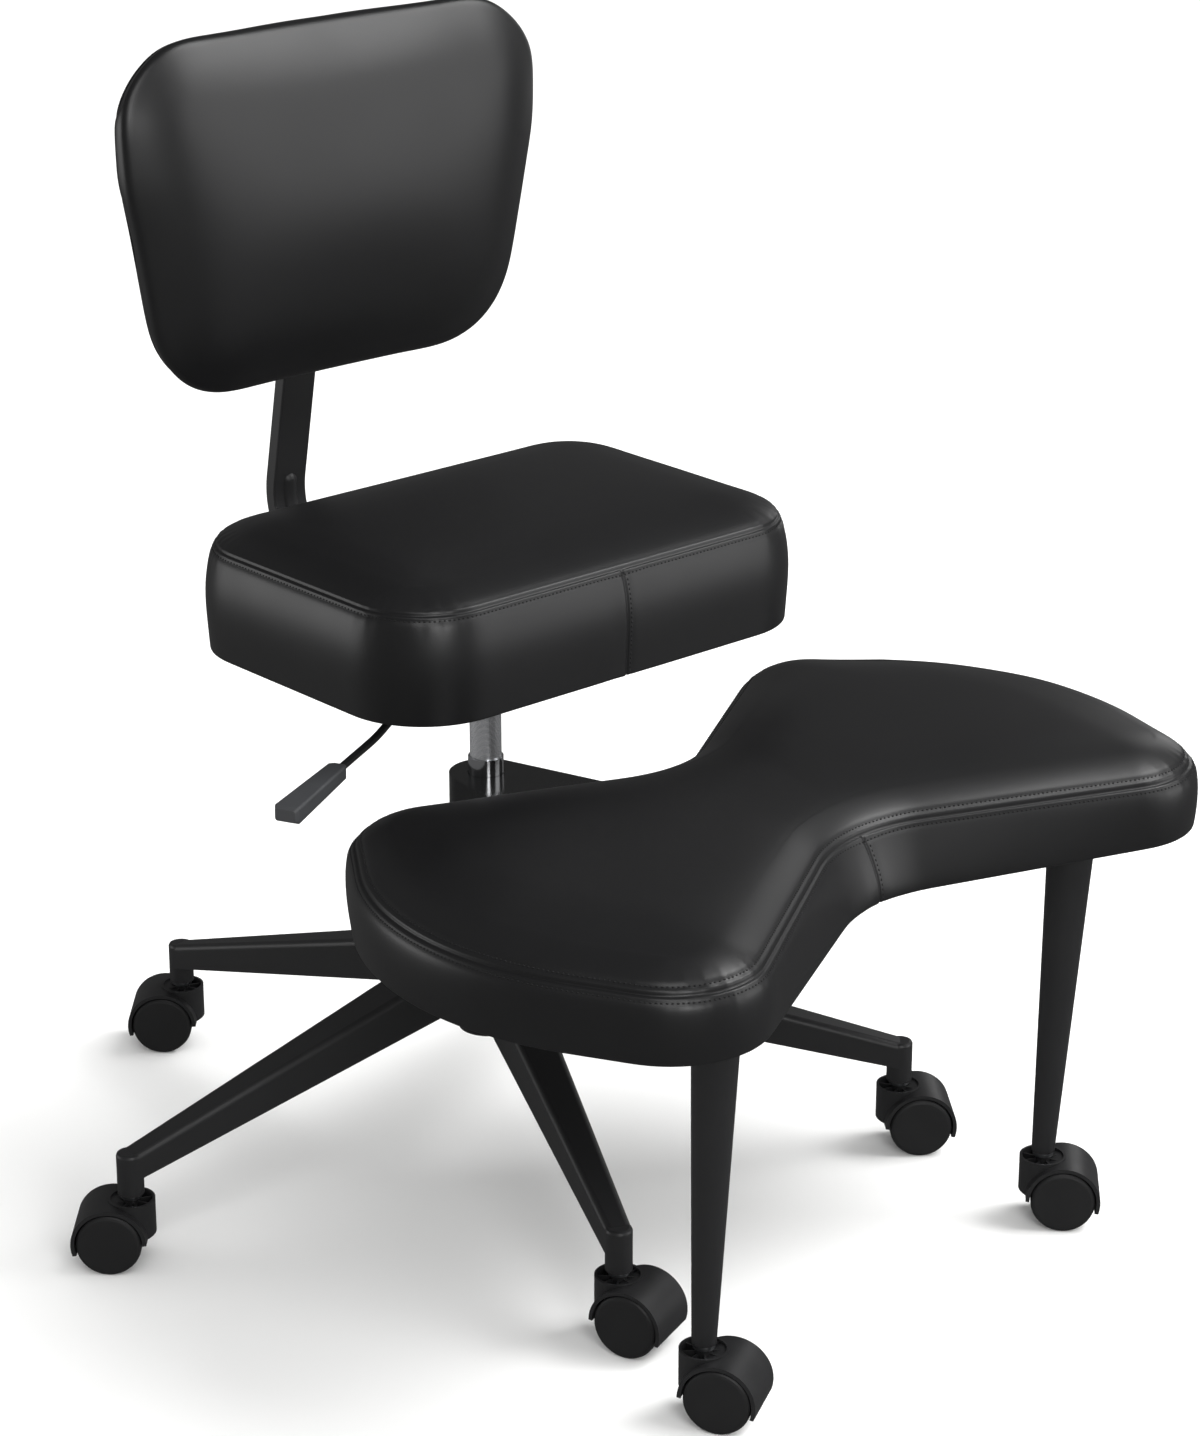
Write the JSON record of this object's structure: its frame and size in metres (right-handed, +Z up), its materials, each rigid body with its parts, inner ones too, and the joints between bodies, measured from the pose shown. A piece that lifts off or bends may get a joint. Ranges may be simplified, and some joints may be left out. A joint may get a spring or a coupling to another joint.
{
  "type": "office chair",
  "caption": "Swivel chair for sitting cross-legged: padded seat and back on a gas lift, with a wide waisted footrest on casters that swings round the column.",
  "frame": {"origin": "on the floor, under the column's axis", "axes": "+Z up along the column, -Y the way the sitter faces, +X to the sitter's left"},
  "size_m": [0.7583, 0.875, 0.8903],
  "materials": {
    "black_leather": "smooth semi-gloss black synthetic leather",
    "black_plywood": "plywood stained black",
    "black_shell": "black board with a fine matt grain",
    "powder_coat": "satin black powder coat",
    "gloss_paint": "gloss black enamel",
    "chrome": "polished hard chrome",
    "steel": "bright zinc-plated steel",
    "black_bolts": "black oxide steel",
    "grip_plastic": "fine-grained dark grey plastic",
    "acetal": "natural acetal",
    "hood_nylon": "moulded black nylon",
    "wheel_nylon": "moulded black nylon with a satin tread"
  },
  "bodies": {
    "base": {"star_base": "powder_coat", "gas_column": "powder_coat", "column_bush": "acetal", "thrust_bearing": "steel", "base_caster_stems": "steel"},
    "rod": {"piston_rod": "steel", "rod_clip": "steel"},
    "seat": {"gas_spring_tube": "chrome", "seat_mechanism": "powder_coat", "lever_pin": "steel", "seat_bolts": "black_bolts", "seat_board": "black_plywood", "seat_cushion": "black_leather", "back_bar": "powder_coat", "back_bar_bolts": "black_bolts", "back_board": "black_shell", "back_cushion": "black_leather", "back_pad_bolts": "black_bolts"},
    "lever": {"height_lever": "powder_coat", "lever_grip": "grip_plastic"},
    "button": {"release_button": "steel"},
    "footrest": {"footrest_bracket": "gloss_paint", "bracket_bush": "acetal", "bracket_washer": "acetal", "bracket_bolts": "black_bolts", "footrest_board": "black_plywood", "footrest_cushion": "black_leather", "footrest_leg_right": "powder_coat", "footrest_leg_left": "powder_coat", "leg_plates": "powder_coat", "leg_plate_screws": "black_bolts", "footrest_caster_stems": "steel"},
    "caster_1": {"caster_1_hood": "hood_nylon", "caster_1_axle": "steel"},
    "caster_1_wheel_left": {"caster_1_wheel_left": "wheel_nylon"},
    "caster_1_wheel_right": {"caster_1_wheel_right": "wheel_nylon"},
    "caster_2": {"caster_2_hood": "hood_nylon", "caster_2_axle": "steel"},
    "caster_2_wheel_left": {"caster_2_wheel_left": "wheel_nylon"},
    "caster_2_wheel_right": {"caster_2_wheel_right": "wheel_nylon"},
    "caster_3": {"caster_3_hood": "hood_nylon", "caster_3_axle": "steel"},
    "caster_3_wheel_left": {"caster_3_wheel_left": "wheel_nylon"},
    "caster_3_wheel_right": {"caster_3_wheel_right": "wheel_nylon"},
    "caster_4": {"caster_4_hood": "hood_nylon", "caster_4_axle": "steel"},
    "caster_4_wheel_left": {"caster_4_wheel_left": "wheel_nylon"},
    "caster_4_wheel_right": {"caster_4_wheel_right": "wheel_nylon"},
    "caster_5": {"caster_5_hood": "hood_nylon", "caster_5_axle": "steel"},
    "caster_5_wheel_left": {"caster_5_wheel_left": "wheel_nylon"},
    "caster_5_wheel_right": {"caster_5_wheel_right": "wheel_nylon"},
    "caster_6": {"caster_6_hood": "hood_nylon", "caster_6_axle": "steel"},
    "caster_6_wheel_left": {"caster_6_wheel_left": "wheel_nylon"},
    "caster_6_wheel_right": {"caster_6_wheel_right": "wheel_nylon"},
    "caster_7": {"caster_7_hood": "hood_nylon", "caster_7_axle": "steel"},
    "caster_7_wheel_left": {"caster_7_wheel_left": "wheel_nylon"},
    "caster_7_wheel_right": {"caster_7_wheel_right": "wheel_nylon"}
  },
  "joints": [
    {"name": "seat_swivel", "type": "hinge", "parent": "base", "child": "rod", "pos_m": [0, 0, 0.115], "axis": [0, 0, 1], "continuous": true},
    {"name": "seat_lift", "type": "slide", "parent": "rod", "child": "seat", "axis": [0, 0, 1], "range_m": [0, 0.08]},
    {"name": "footrest_swing", "type": "hinge", "parent": "base", "child": "footrest", "pos_m": [0, 0, 0.3], "axis": [0, 0, 1], "continuous": true},
    {"name": "height_lever", "type": "hinge", "parent": "seat", "child": "lever", "pos_m": [-0.02356, -0.01099, 0.433], "axis": [-0.4226, 0.9063, 0], "range_deg": [0, 6], "stiffness_Nm_per_rad": 5},
    {"name": "release_button", "type": "slide", "parent": "seat", "child": "button", "axis": [0, 0, -1], "range_m": [0, 0.003]},
    {"name": "caster_1_swivel", "type": "hinge", "parent": "base", "child": "caster_1", "pos_m": [-0.07143, 0.32218, 0.05], "axis": [0, 0, 1], "continuous": true},
    {"name": "caster_1_wheel_left_spin", "type": "hinge", "parent": "caster_1", "child": "caster_1_wheel_left", "pos_m": [-0.08332, 0.33288, 0.025], "axis": [-0.6691, -0.7431, 0], "continuous": true},
    {"name": "caster_1_wheel_right_spin", "type": "hinge", "parent": "caster_1", "child": "caster_1_wheel_right", "pos_m": [-0.08332, 0.33288, 0.025], "axis": [-0.6691, -0.7431, 0], "continuous": true},
    {"name": "caster_2_swivel", "type": "hinge", "parent": "base", "child": "caster_2", "pos_m": [-0.32848, 0.03163, 0.05], "axis": [0, 0, 1], "continuous": true},
    {"name": "caster_2_wheel_left_spin", "type": "hinge", "parent": "caster_2", "child": "caster_2_wheel_left", "pos_m": [-0.34037, 0.04233, 0.025], "axis": [-0.6691, -0.7431, 0], "continuous": true},
    {"name": "caster_2_wheel_right_spin", "type": "hinge", "parent": "caster_2", "child": "caster_2_wheel_right", "pos_m": [-0.34037, 0.04233, 0.025], "axis": [-0.6691, -0.7431, 0], "continuous": true},
    {"name": "caster_3_swivel", "type": "hinge", "parent": "base", "child": "caster_3", "pos_m": [-0.13159, -0.30263, 0.05], "axis": [0, 0, 1], "continuous": true},
    {"name": "caster_3_wheel_left_spin", "type": "hinge", "parent": "caster_3", "child": "caster_3_wheel_left", "pos_m": [-0.12585, -0.31757, 0.025], "axis": [0.9336, 0.3584, 0], "continuous": true},
    {"name": "caster_3_wheel_right_spin", "type": "hinge", "parent": "caster_3", "child": "caster_3_wheel_right", "pos_m": [-0.12585, -0.31757, 0.025], "axis": [0.9336, 0.3584, 0], "continuous": true},
    {"name": "caster_4_swivel", "type": "hinge", "parent": "base", "child": "caster_4", "pos_m": [0.24716, -0.21866, 0.05], "axis": [0, 0, 1], "continuous": true},
    {"name": "caster_4_wheel_left_spin", "type": "hinge", "parent": "caster_4", "child": "caster_4_wheel_left", "pos_m": [0.25976, -0.22851, 0.025], "axis": [0.6157, 0.788, 0], "continuous": true},
    {"name": "caster_4_wheel_right_spin", "type": "hinge", "parent": "caster_4", "child": "caster_4_wheel_right", "pos_m": [0.25976, -0.22851, 0.025], "axis": [0.6157, 0.788, 0], "continuous": true},
    {"name": "caster_5_swivel", "type": "hinge", "parent": "base", "child": "caster_5", "pos_m": [0.28434, 0.16749, 0.05], "axis": [0, 0, 1], "continuous": true},
    {"name": "caster_5_wheel_left_spin", "type": "hinge", "parent": "caster_5", "child": "caster_5_wheel_left", "pos_m": [0.26984, 0.16073, 0.025], "axis": [0.4226, -0.9063, 0], "continuous": true},
    {"name": "caster_5_wheel_right_spin", "type": "hinge", "parent": "caster_5", "child": "caster_5_wheel_right", "pos_m": [0.26984, 0.16073, 0.025], "axis": [0.4226, -0.9063, 0], "continuous": true},
    {"name": "caster_6_swivel", "type": "hinge", "parent": "footrest", "child": "caster_6", "pos_m": [-0.15782, -0.42167, 0.05], "axis": [0, 0, 1], "continuous": true},
    {"name": "caster_6_wheel_left_spin", "type": "hinge", "parent": "caster_6", "child": "caster_6_wheel_left", "pos_m": [-0.14982, -0.43552, 0.025], "axis": [0.866, 0.5, 0], "continuous": true},
    {"name": "caster_6_wheel_right_spin", "type": "hinge", "parent": "caster_6", "child": "caster_6_wheel_right", "pos_m": [-0.14982, -0.43552, 0.025], "axis": [0.866, 0.5, 0], "continuous": true},
    {"name": "caster_7_swivel", "type": "hinge", "parent": "footrest", "child": "caster_7", "pos_m": [0.24071, -0.38048, 0.05], "axis": [0, 0, 1], "continuous": true},
    {"name": "caster_7_wheel_left_spin", "type": "hinge", "parent": "caster_7", "child": "caster_7_wheel_left", "pos_m": [0.25183, -0.39199, 0.025], "axis": [0.7193, 0.6947, 0], "continuous": true},
    {"name": "caster_7_wheel_right_spin", "type": "hinge", "parent": "caster_7", "child": "caster_7_wheel_right", "pos_m": [0.25183, -0.39199, 0.025], "axis": [0.7193, 0.6947, 0], "continuous": true}
  ],
  "couplings": [
    {"joint": "release_button", "follows": "height_lever", "m_per_rad": 0.0275}
  ]
}
